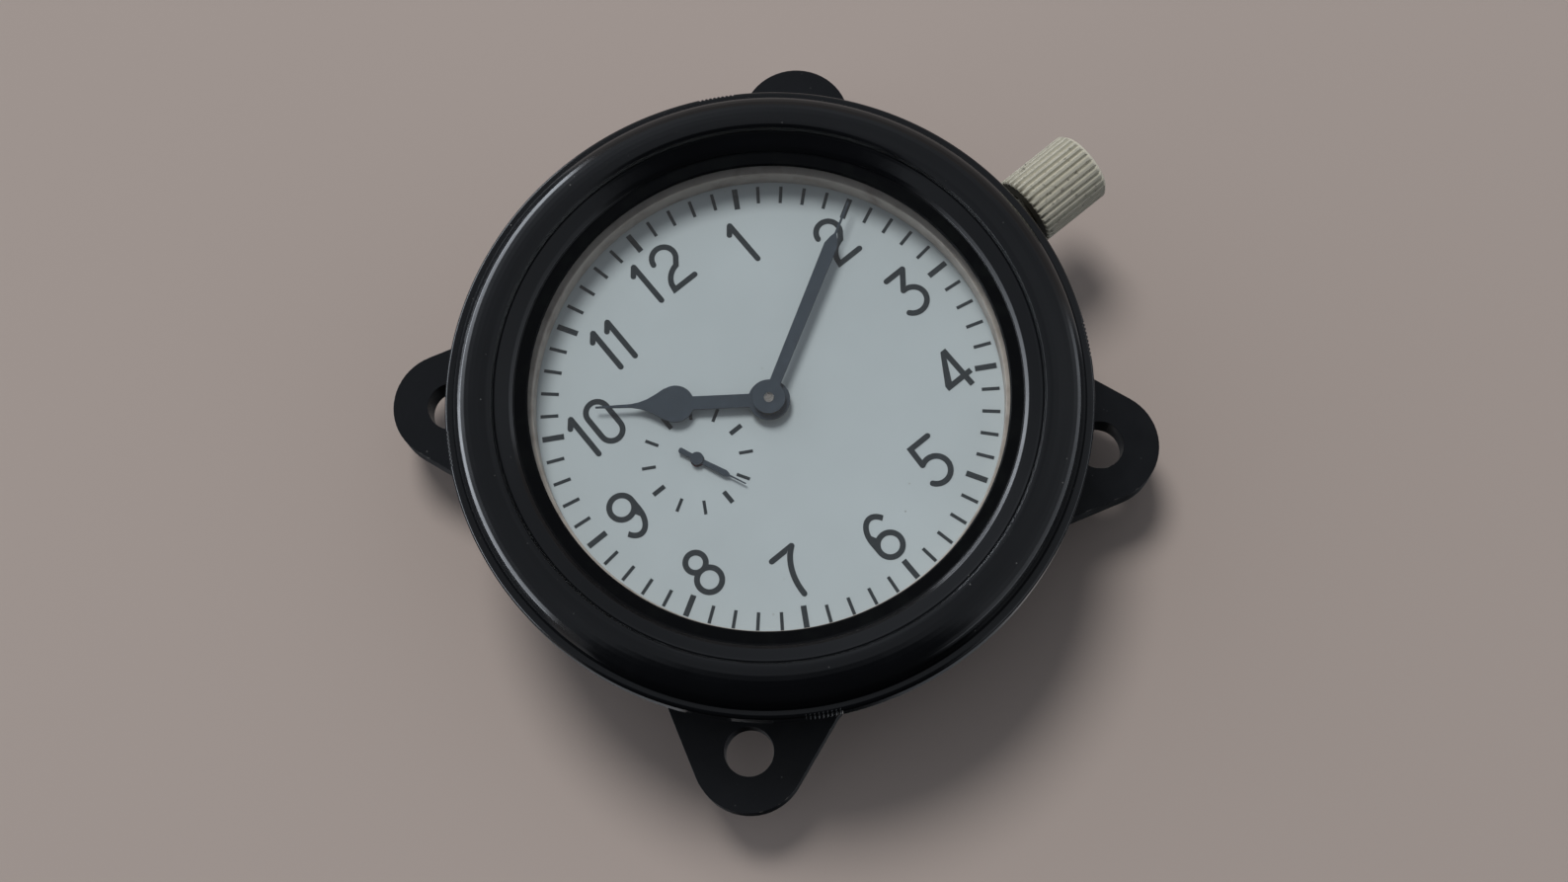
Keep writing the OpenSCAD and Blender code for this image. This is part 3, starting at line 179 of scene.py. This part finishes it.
class Nodes:
    """A node tree whose nodes are added one by one."""

    def __init__(self, tree, coordinates):
        self.tree = tree
        self.place = self.add("ShaderNodeTexCoord").outputs[coordinates]

    def add(self, kind, **values):
        node = self.tree.nodes.new(kind)
        for key, value in values.items():
            setattr(node, key, value)
        return node

    def link(self, source, target):
        self.tree.links.new(source, target)

    def axes(self):
        """The X, Y and Z of the place being shaded."""
        node = self.add("ShaderNodeSeparateXYZ")
        self.link(self.place, node.inputs["Vector"])
        return node.outputs

    def noise(self, size, detail=NOISE_DETAIL):
        """Noise whose blotches are about size metres across."""
        node = self.add("ShaderNodeTexNoise")
        node.inputs["Scale"].default_value = 1 / size
        node.inputs["Detail"].default_value = detail
        self.link(self.place, node.inputs["Vector"])
        return node.outputs["Fac"]

    def ramp(self, value, low, high, start=0.0, end=1.0):
        """A value stretched from low..high to start..end and held there."""
        node = self.add("ShaderNodeMapRange")
        node.inputs["From Min"].default_value = low
        node.inputs["From Max"].default_value = high
        node.inputs["To Min"].default_value = start
        node.inputs["To Max"].default_value = end
        self.link(value, node.inputs["Value"])
        return node.outputs["Result"]

    def patches(self, size, low, high):
        """Patches of noise: 0 where it is below low, 1 where it is above high."""
        return self.ramp(self.noise(size), low, high)

    def specks(self, spacing, radius):
        """Round specks on a loose grid, 1 inside a speck; the radius is a share of the spacing."""
        node = self.add("ShaderNodeTexVoronoi")
        node.inputs["Scale"].default_value = 1 / spacing
        self.link(self.place, node.inputs["Vector"])
        return self.ramp(node.outputs["Distance"], radius, radius * 0.6)

    def maths(self, operation, a, b):
        """Two values joined by an operation; the second may be a plain number."""
        node = self.add("ShaderNodeMath", operation=operation)
        self.link(a, node.inputs[0])
        if isinstance(b, (int, float)):
            node.inputs[1].default_value = b
        else:
            self.link(b, node.inputs[1])
        return node.outputs["Value"]

    def times(self, a, b):
        return self.maths("MULTIPLY", a, b)

    def vector_maths(self, operation, vector, constant=None):
        """The outputs of an operation on a vector, or on a vector and a constant one."""
        node = self.add("ShaderNodeVectorMath", operation=operation)
        self.link(vector, node.inputs[0])
        if constant is not None:
            node.inputs[1].default_value = constant
        return node.outputs

    def blend(self, factor, first, second):
        """One colour laid over another by a factor."""
        node = self.add("ShaderNodeMix", data_type="RGBA")
        self.link(factor, node.inputs["Factor"])
        for socket, colour in (("A", first), ("B", second)):
            target = [i for i in node.inputs if i.name == socket and i.type == "RGBA"][0]
            if isinstance(colour, tuple):
                target.default_value = (*colour, 1)
            else:
                self.link(colour, target)
        return [o for o in node.outputs if o.type == "RGBA"][0]

    def mottled(self, size, colour, dark, pale):
        """A colour that wanders between two of its shades."""
        return self.blend(self.noise(size), shade(colour, dark), shade(colour, pale))

    def cover(self, base, mask, share, colour):
        """A base with a share of another colour over it where the mask is 1."""
        return self.blend(self.times(mask, share), base, colour)


class Paint(Nodes):
    """A material with one main shader."""

    def __init__(self, name):
        self.material = bpy.data.materials.new(name)
        self.material.use_nodes = True
        super().__init__(self.material.node_tree, "Object")
        self.shader = self.tree.nodes["Principled BSDF"]

    def set(self, **values):
        for key, value in values.items():
            self.shader.inputs[key.replace("_", " ")].default_value = value

    def colour(self, source):
        self.link(source, self.shader.inputs["Base Color"])

    def rough(self, source):
        self.link(source, self.shader.inputs["Roughness"])

    def uneven_rough(self, size, low, high):
        """Roughness that wanders between two values."""
        self.rough(self.ramp(self.noise(size), *NOISE_SPAN, low, high))

    def relief(self, size, depth, detail=NOISE_DETAIL):
        """Fine relief of the given depth in metres."""
        node = self.add("ShaderNodeBump")
        node.inputs["Distance"].default_value = depth
        self.link(self.noise(size, detail), node.inputs["Height"])
        self.link(node.outputs["Normal"], self.shader.inputs["Normal"])


def gloss_enamel():
    paint = Paint("gloss_enamel")
    base = paint.mottled(7 * MM, BLACK_ENAMEL, dark=0.8, pale=1.5)
    dust = paint.times(paint.specks(1.6 * MM, radius=0.06), paint.patches(9 * MM, 0.5, 0.62))
    paint.colour(paint.cover(base, dust, 0.5, GLOSS_DUST))
    paint.uneven_rough(3 * MM, 0.13, 0.20)
    paint.relief(1.2 * MM, depth=0.006 * MM, detail=2)
    paint.set(Specular_IOR_Level=0.38)
    return paint.material


def satin_enamel():
    paint = Paint("satin_enamel")
    base = paint.mottled(5 * MM, BLACK_ENAMEL, dark=1.5, pale=2.7)
    dust = paint.times(paint.specks(1.2 * MM, radius=0.08), paint.patches(6 * MM, 0.5, 0.65))
    paint.colour(paint.cover(base, dust, 0.5, SATIN_DUST))
    paint.uneven_rough(2 * MM, 0.42, 0.58)
    paint.relief(0.5 * MM, depth=0.012 * MM)
    paint.set(Specular_IOR_Level=0.26)
    return paint.material


def ledge_black():
    paint = Paint("ledge_black")
    grime = paint.patches(1.5 * MM, 0.5, 0.75)
    paint.colour(paint.cover(shade(BLACK_ENAMEL, 0.7), grime, 0.5, LEDGE_GRIME))
    paint.rough(paint.ramp(grime, 0, 1, 0.45, 0.7))
    paint.relief(0.4 * MM, depth=0.006 * MM)
    paint.set(Specular_IOR_Level=0.09)
    return paint.material


def worn_edge():
    paint = Paint("worn_edge")
    chips = paint.patches(0.8 * MM, 0.60, 0.68)
    paint.colour(paint.blend(chips, shade(BLACK_ENAMEL, 1.8), BARE_EDGE))
    paint.rough(paint.ramp(chips, 0, 1, 0.38, 0.5))
    paint.relief(0.4 * MM, depth=0.01 * MM)
    return paint.material


def dial_paint():
    paint = Paint("dial_paint")
    mottle = paint.patches(11 * MM, 0.35, 0.7)
    base = paint.blend(mottle, shade(DIAL_GREY, 0.97), shade(DIAL_GREY, 1.03))
    specks = paint.times(paint.specks(3.1 * MM, radius=0.045), paint.patches(5 * MM, 0.52, 0.6))
    paint.colour(paint.cover(base, specks, 0.7, DIAL_SPECK))
    paint.uneven_rough(4 * MM, 0.55, 0.7)
    paint.relief(0.35 * MM, depth=0.004 * MM)
    return paint.material


def slate_paint(name, colour):
    paint = Paint(name)
    base = paint.mottled(3 * MM, colour, dark=0.9, pale=1.15)
    wear = paint.patches(0.7 * MM, 0.55, 0.75)
    paint.colour(paint.cover(base, wear, 0.25, shade(colour, 2.2)))
    paint.uneven_rough(1 * MM, 0.45, 0.65)
    paint.relief(0.3 * MM, depth=0.004 * MM)
    paint.set(Specular_IOR_Level=0.2)
    return paint.material


def ring_paint():
    paint = Paint("ring_paint")
    base = paint.mottled(6 * MM, RING_GREY, dark=0.85, pale=1.1)
    grime = paint.patches(2.2 * MM, 0.45, 0.72)
    paint.colour(paint.cover(base, grime, 0.55, RING_GRIME))
    paint.rough(paint.ramp(grime, 0, 1, 0.5, 0.8))
    paint.relief(0.4 * MM, depth=0.01 * MM)
    return paint.material


def clear_glass():
    paint = Paint("clear_glass")
    smear = paint.noise(9 * MM)
    paint.rough(paint.ramp(smear, 0.4, 0.8, 0.0, 0.03))
    paint.colour(paint.blend(smear, GLASS_DARK, GLASS_PALE))
    paint.set(Transmission_Weight=1.0, IOR=1.46)
    return paint.material


def nickel(axis_z, base_x, groove_r, crest_r):
    """Dull plating on a knurl along X: worn crests, grooves painted paler as painted light against
    their shade, and grime with painted shade in the grooves near its base.
    """
    paint = Paint("dull_nickel")
    axes = paint.axes()
    across = paint.add("ShaderNodeCombineXYZ")
    paint.link(axes["Y"], across.inputs["X"])
    paint.link(paint.maths("SUBTRACT", axes["Z"], axis_z), across.inputs["Y"])
    radius = paint.vector_maths("LENGTH", across.outputs["Vector"])["Value"]
    groove = paint.ramp(radius, crest_r, groove_r)
    worn = paint.mottled(2 * MM, NICKEL, dark=0.72, pale=0.94)
    # Grooves painted paler than the crests: painted light that lifts the shade between the ridges
    plating_with_painted_light = paint.cover(worn, groove, 0.8, shade(NICKEL, 1.35))
    # Grooves darkened towards the crown's base beside the case: grime and painted shade
    near_base = paint.ramp(axes["X"], base_x + 1.1 * MM, base_x + 0.2 * MM, 0.0, 0.97)
    grime_and_painted_shade = paint.cover(plating_with_painted_light, groove, near_base, NICKEL_GRIME_AND_SHADE)
    spots = paint.patches(0.6 * MM, 0.62, 0.70)
    paint.colour(paint.cover(grime_and_painted_shade, spots, 0.6, NICKEL_SPOT))
    paint.uneven_rough(1 * MM, 0.5, 0.68)
    paint.relief(0.3 * MM, depth=0.01 * MM)
    paint.set(Metallic=0.15)
    return paint.material


def metal(name, colour, low, high):
    """Machined metal with fine grain; low and high are its roughness limits."""
    paint = Paint(name)
    paint.colour(paint.mottled(3 * MM, colour, dark=0.8, pale=1.1))
    paint.uneven_rough(0.5 * MM, low, high)
    paint.relief(0.2 * MM, depth=0.003 * MM)
    paint.set(Metallic=1.0)
    return paint.material


def ruby():
    paint = Paint("ruby")
    paint.colour(paint.mottled(0.6 * MM, RUBY, dark=0.7, pale=1.2))
    paint.uneven_rough(0.3 * MM, 0.06, 0.14)
    paint.set(Coat_Weight=0.5)
    return paint.material


def rubber():
    paint = Paint("rubber")
    paint.colour(paint.blend(paint.noise(1 * MM), RUBBER_DARK, RUBBER_PALE))
    paint.uneven_rough(0.5 * MM, 0.7, 0.9)
    paint.relief(0.3 * MM, depth=0.01 * MM)
    return paint.material


def add_object(name, mesh, body):
    piece = bpy.data.objects.new(name, mesh)
    bpy.context.scene.collection.objects.link(piece)
    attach(piece, body)
    return piece


def rounded(points):
    """A profile of (radius, height, corner radius) with its corners rounded, as points and headings."""
    line = []
    last = len(points) - 1
    for i, (r, z, corner) in enumerate(points):
        here = Vector((r, z))
        into = (here - Vector(points[i - 1][:2])).normalized() if i > 0 else None
        away = (Vector(points[i + 1][:2]) - here).normalized() if i < last else None
        if into is None or away is None:
            line.append((here, away or into))
            continue
        turn = into.angle_signed(away, 0.0)
        reach = corner * abs(math.tan(turn / 2))
        start = here - into * reach
        steps = math.ceil(abs(turn) / CORNER_STEP)
        for step in range(steps + 1):
            angle = -turn * step / steps
            heading = into.copy()
            heading.rotate(Matrix.Rotation(angle, 2))
            half = into.copy()
            half.rotate(Matrix.Rotation(angle / 2, 2))
            chord = 2 * corner * abs(math.sin(angle / 2))
            line.append((start + half * chord, heading))
    return line


def lathe(name, line, columns, push):
    """A ring from a profile; push(angle, radius, height) sinks a point towards the axis."""
    rows = len(line)
    mesh = bpy.data.meshes.new(name)
    points = []
    for angle in columns:
        for place, _ in line:
            r = place.x - push(angle, place.x, place.y)
            points.append((r * math.cos(angle), r * math.sin(angle), place.y))
    faces = []
    for c in range(len(columns)):
        n = (c + 1) % len(columns)
        for k in range(rows - 1):
            faces.append((c * rows + k, n * rows + k, n * rows + k + 1, c * rows + k + 1))
    mesh.from_pydata(points, [], faces)
    mesh.shade_smooth()
    normals = []
    for c, angle in enumerate(columns):
        for k, (_, heading) in enumerate(line):
            before = Vector(points[(c - 1) % len(columns) * rows + k])
            after = Vector(points[(c + 1) % len(columns) * rows + k])
            along = Vector((heading.x * math.cos(angle), heading.x * math.sin(angle), heading.y))
            normals.append((after - before).cross(along).normalized())
    mesh.normals_split_custom_set_from_vertices(normals)
    return mesh


def bevelled(node, width, segments=2):
    """A copy of a CAD node with rounded edges, which stands for the node."""
    source = frame["nodes"][node]
    mesh = source.data.copy()
    mesh.name = node + "_finish"
    work = bmesh.new()
    work.from_mesh(mesh)
    bmesh.ops.remove_doubles(work, verts=work.verts, dist=MERGE_DISTANCE)
    bmesh.ops.dissolve_limit(work, angle_limit=FLAT_ANGLE, verts=work.verts, edges=work.edges)
    work.to_mesh(mesh)
    work.free()
    mesh.materials.clear()
    piece = add_object(mesh.name, mesh, source["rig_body"])
    bevel = piece.modifiers.new("bevel", "BEVEL")
    bevel.width = width
    bevel.segments = segments
    bevel.limit_method = "ANGLE"
    bevel.angle_limit = EDGE_ANGLE
    bevel.material = SECOND_MATERIAL
    bevel.use_clamp_overlap = True
    bevel.harden_normals = True
    mesh.shade_smooth()
    smooth = piece.modifiers.new("weights", "WEIGHTED_NORMAL")
    smooth.keep_sharp = True
    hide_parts(node)
    return piece


def paint_piece(piece, *materials):
    for material in materials:
        piece.data.materials.append(material)


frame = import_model()
slots = {s["node"]: s["material_slot"] for s in frame["record"]["subparts"]}

gloss = gloss_enamel()
satin = satin_enamel()
edge = worn_edge()
crown_low, crown_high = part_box("crown")
stem_z = (crown_low.z + crown_high.z) / 2
crown_r = (crown_high.z - crown_low.z) / 2
paints = {
    "satin_black": satin,
    "gloss_black": gloss,
    "window_glass": clear_glass(),
    "black_rubber": rubber(),
    "grey_ring": ring_paint(),
    "dial_paint": dial_paint(),
    "dial_ink": slate_paint("dial_ink", INK_SLATE),
    "hand_paint": slate_paint("hand_paint", HAND_SLATE),
    "plate_brass": metal("gilt_plate", GILT, 0.35, 0.5),
    "wheel_brass": metal("wheel_brass", BRASS, 0.25, 0.4),
    "steel": metal("steel", STEEL, 0.22, 0.38),
    "blued_steel": metal("blued_steel", BLUED, 0.15, 0.3),
    "ruby": ruby(),
    "dull_nickel": nickel(stem_z, crown_low.x, crown_r - CROWN_GROOVE * MM, crown_r),
}
for node, piece in frame["nodes"].items():
    piece.data.materials.clear()
    piece.data.materials.append(paints[slots[node]])

# The bezel, from the rim up over the bulge and down to the window
bezel_low, bezel_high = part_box("bezel")
_, glass_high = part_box("glass")
rim_r = bezel_high.x
bulge_r = rim_r - RIM_OVER_BULGE * MM
window_r = glass_high.x - GLASS_OVER_WINDOW * MM
inner_r = rim_r - RIM_W * MM
rim_top = bezel_low.z + RIM_H * MM
crest = bezel_high.z
bulge_z = rim_top + BULGE_LIFT * MM
bulge_w = BULGE_W * MM
top_r = bulge_r - bulge_w
lip = glass_high.z


def bulge_point(degrees):
    """A profile point on the bulge, from its side at 0 degrees to its top at 90."""
    angle = math.radians(degrees)
    across = top_r + bulge_w * math.cos(angle)
    up = bulge_z + (crest - bulge_z) * math.sin(angle)
    return (across, up, BULGE_CORNER * MM)


def from_crest(out, down, corner):
    """A profile point by millimetres out from the window and down from the crest."""
    return (window_r + out * MM, crest - down * MM, corner * MM)


def from_lip(out, up, corner):
    """A profile point by millimetres out from the window and up from the glass."""
    return (window_r + out * MM, lip + up * MM, corner * MM)


bezel_profile = rounded(
    [
        (inner_r, bezel_low.z + 1.0 * MM, 0),
        (inner_r, bezel_low.z, 0.15 * MM),
        (rim_r - 0.95 * MM, bezel_low.z, 0.4 * MM),
        (rim_r, bezel_low.z + 2.6 * MM, 1.5 * MM),
        (rim_r, rim_top, 0.45 * MM),
        (bulge_r + 0.05 * MM, rim_top + 0.05 * MM, 0.1 * MM),
        *[bulge_point(degrees) for degrees in range(0, 91, BULGE_STEP)],
        (top_r - 0.3 * MM, crest - 0.04 * MM, 0.8 * MM),
        from_crest(3.4, 0.2, 0.06),
        from_crest(3.22, 0.55, 0.03),
        from_crest(3.15, 0.74, 0.02),
        from_crest(3.06, 0.67, 0.03),
        from_lip(2.85, 1.36, 0.3),
        from_lip(2.05, 1.0, 1.2),
        from_lip(1.78, 0.87, 0.4),
        from_lip(1.43, 0.54, 0.2),
        from_lip(1.36, 0.4, 0.08),
        from_lip(1.2, 0.34, 0.1),
        from_lip(0.15, 0.28, 0.12),
        from_lip(0, 0.12, 0.06),
        from_lip(0, 0, 0.02),
        from_lip(1.8, 0, 0),
    ]
)
knurl_step = math.radians(KNURL_STEP)
knurl_half = PATCH_GROOVES / 2 * knurl_step
knurl_centres = [math.radians(PATCH_START - 360 / PATCHES * i) for i in range(PATCHES)]


def turn_between(centre, angle):
    """The turn from a centre to an angle, at most half a turn either way."""
    return (angle - centre + math.pi) % FULL_TURN - math.pi


def knurl(angle, radius, height):
    """How deep the knurl is cut at a point of the rim."""
    if radius < rim_r - KNURL_BAND * MM or height > rim_top:
        return 0.0
    depth = 0.0
    for centre in knurl_centres:
        off = turn_between(centre, angle)
        if abs(off) < knurl_half:
            depth = KNURL_DEPTH * MM * (0.5 + 0.5 * math.cos(FULL_TURN * off / knurl_step)) ** 2
    return depth


def on_patch(angle):
    """Whether an angle lies on a knurled patch or just beside it."""
    reach = knurl_half + math.radians(PATCH_MARGIN)
    return any(abs(turn_between(centre, angle)) <= reach for centre in knurl_centres)


fine = [
    centre + knurl_half * (i / HALF_PATCH_COLUMNS - 1)
    for centre in knurl_centres
    for i in range(2 * HALF_PATCH_COLUMNS + 1)
]
coarse = [FULL_TURN * i / RING_COLUMNS for i in range(RING_COLUMNS)]
plain = [angle for angle in coarse if not on_patch(angle)]
columns = sorted(angle % FULL_TURN for angle in fine + plain)
bezel_mesh = lathe("bezel_finish", bezel_profile, columns, knurl)
bezel = add_object("bezel_finish", bezel_mesh, "case")
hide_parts("bezel")
paint_piece(bezel, gloss, ledge_black())
for face in bezel.data.polygons:
    if face.center.z < lip + LEDGE_H * MM and face.center.xy.length < window_r + LEDGE_W * MM:
        face.material_index = SECOND_MATERIAL

# Other pieces in view keep their solids' shapes, with edges rounded by a width in millimetres
paint_piece(bevelled("case_body", 0.3 * MM, segments=3), satin, edge)
paint_piece(bevelled("rear_cover", 0.15 * MM), satin, edge)
for node, width in (
    ("crown", 0.05),
    ("spacer_ring", 0.12),
    ("minute_hand", 0.05),
    ("hour_hand", 0.05),
    ("seconds_hand", 0.05),
):
    node_paint = paints[slots[node]]
    paint_piece(bevelled(node, width * MM), node_paint, node_paint)

# The glass casts no shadow and takes no light from the dial under it
glass = frame["nodes"]["glass"]
glass.visible_shadow = False
glass.visible_diffuse = False

# Floor, which the enamel doesn't mirror
floor_paint = Paint("floor")
floor_paint.colour(floor_paint.mottled(FLOOR_BLOTCH, FLOOR_COLOUR, dark=0.985, pale=1.015))
floor_paint.set(Roughness=0.9, Specular_IOR_Level=0.0)
bpy.ops.mesh.primitive_plane_add(size=FLOOR_SIZE)
floor = bpy.context.object
floor.name = "floor"
floor.data.materials.append(floor_paint.material)
floor.visible_glossy = False

# Light: a soft ceiling with a dark side, and a bright and a faint strip low on the wall
world = bpy.data.worlds.new("studio")
world.use_nodes = True
bpy.context.scene.world = world
sky = Nodes(world.node_tree, "Generated")
sky_height = sky.axes()["Z"]
sky_flat = sky.vector_maths("MULTIPLY", sky.place, (1, 1, 0))["Vector"]
sky_heading = sky.vector_maths("NORMALIZE", sky_flat)["Vector"]


def sector(azimuth, half, soft):
    """1 within half degrees of an azimuth, fading to 0 over soft degrees more."""
    turn = math.radians(azimuth)
    facing = sky.vector_maths("DOT_PRODUCT", sky_heading, (math.cos(turn), math.sin(turn), 0))
    edge_in = math.cos(math.radians(half))
    edge_out = math.cos(math.radians(half + soft))
    return sky.ramp(facing["Value"], edge_out, edge_in)


above = sky.ramp(sky_height, *SKY_EDGE)
patchy = sky.ramp(sky.noise(0.7, detail=1), 0.35, 0.65, 0.8, 1.2)
overhead = sky.times(patchy, sky.ramp(above, 0, 1, GROUND_LIGHT, CEILING_LIGHT))
dark_sector = sector(*DARK_SIDE)
dark_side = sky.times(dark_sector, sky.ramp(sky_height, *DARK_SIDE_TOP))
ceiling = sky.times(overhead, sky.ramp(dark_side, 0, 1, 1.0, DARK_SIDE_SHARE))
fade = sky.ramp(sky_height, *STRIP_TOP)
low_band = sky.times(sky.times(fade, sky.times(fade, fade)), above)
strip_sector = sector(*STRIP)
faint_sector = sector(*FAINT_STRIP)
strip = sky.times(strip_sector, low_band)
faint = sky.times(faint_sector, low_band)
glow = sky.maths("ADD", sky.times(strip, STRIP_LIGHT), sky.times(faint, FAINT_STRIP_LIGHT))
room_light = sky.maths("ADD", ceiling, glow)

# The plain backdrop shows to the camera, through glass, and in gloss low between the sectors
taken = sky.maths("MAXIMUM", sky.maths("MAXIMUM", strip_sector, faint_sector), dark_sector)
open_wall = sky.times(sky.ramp(taken, 1, 0), sky.ramp(sky_height, *OPEN_WALL_TOP))
rays = sky.add("ShaderNodeLightPath").outputs
straight = sky.maths("MAXIMUM", rays["Is Camera Ray"], rays["Is Transmission Ray"])
shown = sky.maths("MAXIMUM", straight, sky.times(rays["Is Glossy Ray"], open_wall))
background = world.node_tree.nodes["Background"]
sky.link(sky.blend(shown, SKY_TINT, BACKDROP_COLOUR), background.inputs["Color"])
strength = sky.add("ShaderNodeMix")
sky.link(shown, strength.inputs["Factor"])
sky.link(room_light, strength.inputs["A"])
strength.inputs["B"].default_value = BACKDROP_LIGHT
sky.link(strength.outputs["Result"], background.inputs["Strength"])

# A soft lamp gives the shadows their direction; the gloss shows only the room
lamp_data = bpy.data.lights.new("key", "AREA")
lamp_data.shape = "DISK"
lamp_data.size = KEY_SIZE
lamp_data.energy = KEY_POWER
lamp = bpy.data.objects.new("key", lamp_data)
bpy.context.scene.collection.objects.link(lamp)
lamp_turn = Matrix.Rotation(math.radians(KEY_AZIMUTH), 4, "Z")
lamp_tilt = Matrix.Rotation(math.radians(KEY_TILT), 4, "Y")
lamp.matrix_world = lamp_turn @ lamp_tilt @ Matrix.Translation((0, 0, KEY_DISTANCE))
lamp.visible_camera = False
lamp.visible_glossy = False
lamp.visible_transmission = False

# Camera
camera_data = bpy.data.cameras.new("camera")
camera_data.sensor_width = CAMERA_SENSOR
camera_data.lens = CAMERA_LENS
camera_data.clip_start = CAMERA_NEAR
camera = bpy.data.objects.new("camera", camera_data)
bpy.context.scene.collection.objects.link(camera)
at = Vector(CAMERA_AT) * MM
aim = Vector(CAMERA_AIM) * MM
back = (at - aim).normalized()
right = Vector((0, 1, 0)).cross(back).normalized()
level = Matrix((right, back.cross(right), back)).transposed()
turned = level @ Matrix.Rotation(math.radians(-CAMERA_ROLL), 3, "Z")
camera.matrix_world = Matrix.Translation(at) @ turned.to_4x4()
bpy.context.scene.camera = camera

bpy.context.scene.view_settings.view_transform = "Standard"
